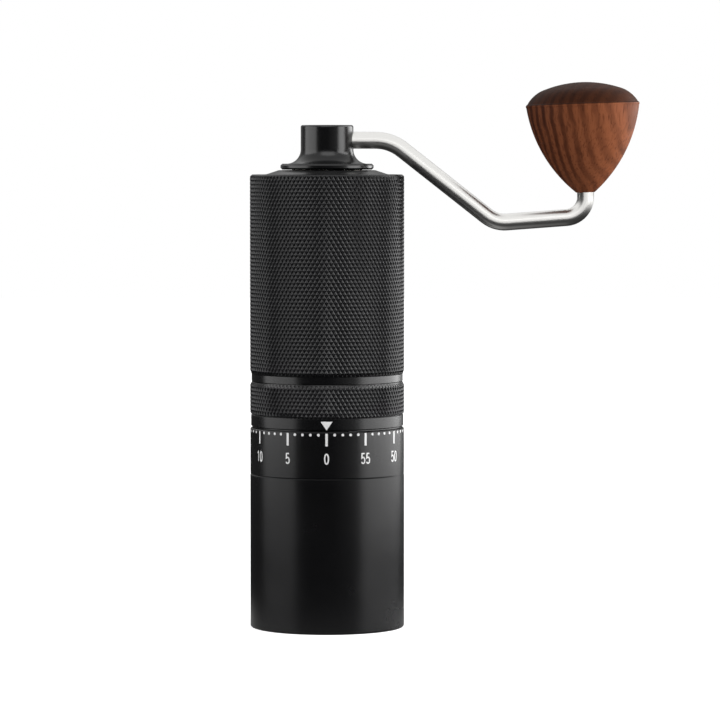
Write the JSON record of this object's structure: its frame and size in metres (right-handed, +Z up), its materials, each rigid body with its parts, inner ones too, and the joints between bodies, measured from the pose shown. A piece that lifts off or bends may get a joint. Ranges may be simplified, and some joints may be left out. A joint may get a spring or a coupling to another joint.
{
  "type": "hand crank coffee grinder",
  "caption": "Cylindrical hand coffee grinder: knurled barrel, adjusting ring over a click scale, lift-off cup, domed lid and a bent crank arm with a turned wooden knob.",
  "frame": {"origin": "centre of the cup's flat underside, on the axis of the body", "axes": "+Z up along the axis of the body, +X along the crank arm at rest, the zero of the dial looks along -Y"},
  "size_m": [0.1337, 0.053, 0.1875],
  "materials": {
    "black_anodised": "satin black anodised aluminium",
    "bare_aluminium": "machined bare aluminium",
    "polished_steel": "polished stainless steel",
    "burr_steel": "ground hardened steel",
    "steel": "machined steel",
    "spring_steel": "drawn spring steel",
    "nickel": "nickel plated magnet",
    "brass": "turned brass",
    "walnut": "turned and oiled walnut",
    "silicone": "black silicone rubber",
    "polymer": "natural bearing polymer"
  },
  "bodies": {
    "cup": {"catch_cup": "black_anodised", "cup_magnets": "nickel"},
    "barrel": {"grip_barrel": "black_anodised", "dial_ring": "black_anodised", "dial_magnets": "nickel", "dial_pins": "steel", "upper_bridge": "bare_aluminium", "upper_bridge_snap_ring": "spring_steel", "lower_bridge": "bare_aluminium", "lower_bridge_snap_ring": "spring_steel", "upper_bearing_outer_ring": "steel", "lower_bearing_outer_ring": "steel", "click_ball": "polished_steel", "click_spring": "spring_steel", "carrier_spring": "spring_steel"},
    "adjuster": {"adjusting_ring": "black_anodised"},
    "carrier": {"burr_carrier": "bare_aluminium", "outer_burr": "burr_steel", "outer_burr_screws": "steel"},
    "shaft": {"drive_shaft": "steel", "shaft_circlips": "spring_steel", "inner_burr": "burr_steel", "burr_washer": "steel", "burr_nut": "steel", "upper_bearing_inner_ring": "steel", "lower_bearing_inner_ring": "steel"},
    "upper_balls": {"upper_bearing_balls": "polished_steel", "upper_bearing_cage": "polymer"},
    "lower_balls": {"lower_bearing_balls": "polished_steel", "lower_bearing_cage": "polymer"},
    "lid": {"hopper_lid": "black_anodised", "lid_oring": "silicone", "lid_bush": "polymer"},
    "crank": {"crank_hub": "black_anodised", "drive_socket": "steel", "arm_grub_screw": "spring_steel", "lid_circlip": "spring_steel", "crank_arm": "polished_steel", "knob_retaining_ring": "spring_steel"},
    "knob": {"knob": "walnut", "knob_bush": "brass"}
  },
  "joints": [
    {"name": "body_lift", "type": "slide", "parent": "cup", "child": "barrel", "axis": [0, 0, 1], "range_m": [0, 0.06]},
    {"name": "lid_lift", "type": "slide", "parent": "barrel", "child": "lid", "axis": [0, 0, 1], "range_m": [0, 0.04]},
    {"name": "crank_turn", "type": "hinge", "parent": "lid", "child": "crank", "pos_m": [0, 0, 0.16], "axis": [0, 0, 1], "continuous": true},
    {"name": "knob_spin", "type": "hinge", "parent": "crank", "child": "knob", "pos_m": [0.089, 0, 0.1415], "axis": [-0.0349, 0, 0.9994], "continuous": true},
    {"name": "shaft_turn", "type": "hinge", "parent": "barrel", "child": "shaft", "pos_m": [0, 0, 0.1], "axis": [0, 0, 1], "continuous": true},
    {"name": "upper_ball_orbit", "type": "hinge", "parent": "barrel", "child": "upper_balls", "pos_m": [0, 0, 0.1435], "axis": [0, 0, 1], "continuous": true},
    {"name": "lower_ball_orbit", "type": "hinge", "parent": "barrel", "child": "lower_balls", "pos_m": [0, 0, 0.0805], "axis": [0, 0, 1], "continuous": true},
    {"name": "adjuster_turn", "type": "hinge", "parent": "barrel", "child": "adjuster", "pos_m": [0, 0, 0.076], "axis": [0, 0, -1], "range_deg": [0, 900]},
    {"name": "carrier_rise", "type": "slide", "parent": "barrel", "child": "carrier", "axis": [0, 0, 1], "range_m": [0, 0.00251], "deforming": ["carrier_spring"]}
  ],
  "couplings": [
    {"joint": "shaft_turn", "follows": "crank_turn", "ratio": 1},
    {"joint": "upper_ball_orbit", "follows": "crank_turn", "ratio": 0.4167},
    {"joint": "lower_ball_orbit", "follows": "crank_turn", "ratio": 0.4167},
    {"joint": "carrier_rise", "follows": "adjuster_turn", "m_per_rad": 0.00015915}
  ]
}
